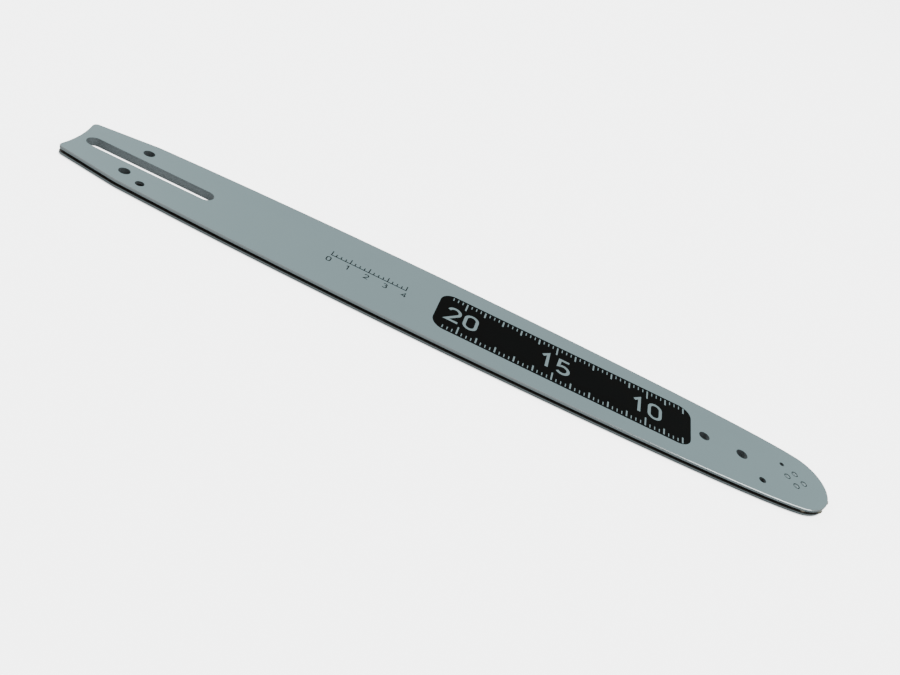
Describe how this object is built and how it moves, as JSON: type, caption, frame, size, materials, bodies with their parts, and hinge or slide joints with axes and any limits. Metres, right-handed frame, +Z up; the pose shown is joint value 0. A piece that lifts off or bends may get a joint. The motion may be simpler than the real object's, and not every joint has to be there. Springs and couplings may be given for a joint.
{
  "type": "chainsaw guide bar",
  "caption": "Long flat laminated steel guide bar with rounded, gently bowed rails, a narrow edge groove, a slotted tail with two holes and a toothed wheel riveted into the nose",
  "frame": {"origin": "middle of the underside of the bar's box, as it lies flat on its side", "axes": "+X runs from the slotted tail to the sprocket nose, +Y across the bar, +Z up through its thickness"},
  "size_m": [0.406, 0.0544, 0.0048],
  "materials": {
    "plate_paint": "satin silver-grey",
    "core_steel": "dark oiled",
    "wheel_steel": "bare, hardened",
    "roller_steel": "ground",
    "rivet_paint": "satin silver-grey",
    "print_ink": "printed black, matt"
  },
  "bodies": {
    "bar": {"upper_side_plate": "plate_paint", "lower_side_plate": "plate_paint", "core_plate": "core_steel", "nose_hub": "wheel_steel", "nose_rivets": "rivet_paint"},
    "sprocket": {"nose_sprocket": "wheel_steel"},
    "rollers": {"nose_rollers": "roller_steel"}
  },
  "joints": [
    {"name": "sprocket_turn", "type": "hinge", "parent": "bar", "child": "sprocket", "pos_m": [0.1841, 0, 0.0024], "axis": [0, 0, 1], "continuous": true},
    {"name": "rollers_orbit", "type": "hinge", "parent": "bar", "child": "rollers", "pos_m": [0.1841, 0, 0.0024], "axis": [0, 0, 1], "continuous": true}
  ],
  "couplings": [
    {"joint": "rollers_orbit", "follows": "sprocket_turn", "ratio": 0.5553}
  ]
}
